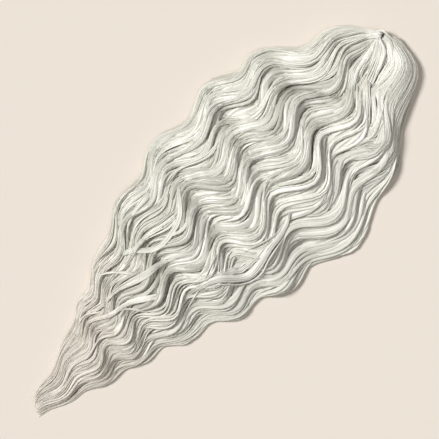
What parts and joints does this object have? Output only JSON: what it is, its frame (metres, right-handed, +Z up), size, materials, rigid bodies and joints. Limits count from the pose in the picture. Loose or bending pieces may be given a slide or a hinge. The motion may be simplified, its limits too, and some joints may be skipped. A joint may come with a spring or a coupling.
{
  "type": "braiding hair bundle",
  "caption": "Bundle of long wavy braiding hair, tied and folded at its middle with a dark thread, its locks fanning out and tapering to loose tips; lies flat.",
  "frame": {"origin": "on the surface that the bundle lies on, under the middle of its outline's box", "axes": "+X up the bundle from the cut tips to the tie, +Y to the side where the front half reaches its edge, +Z up"},
  "size_m": [0.5508, 0.2308, 0.0329],
  "materials": {
    "hair_front": "silky fibre",
    "hair_back": "silky fibre",
    "hair_loose": "silky fibre",
    "thread": "matt thread"
  },
  "bodies": {
    "root": {"front_half": "hair_front", "back_half": "hair_back", "loose_lock_1": "hair_loose", "loose_lock_2": "hair_loose", "loose_lock_3": "hair_loose", "tie_thread": "thread"}
  },
  "joints": []
}
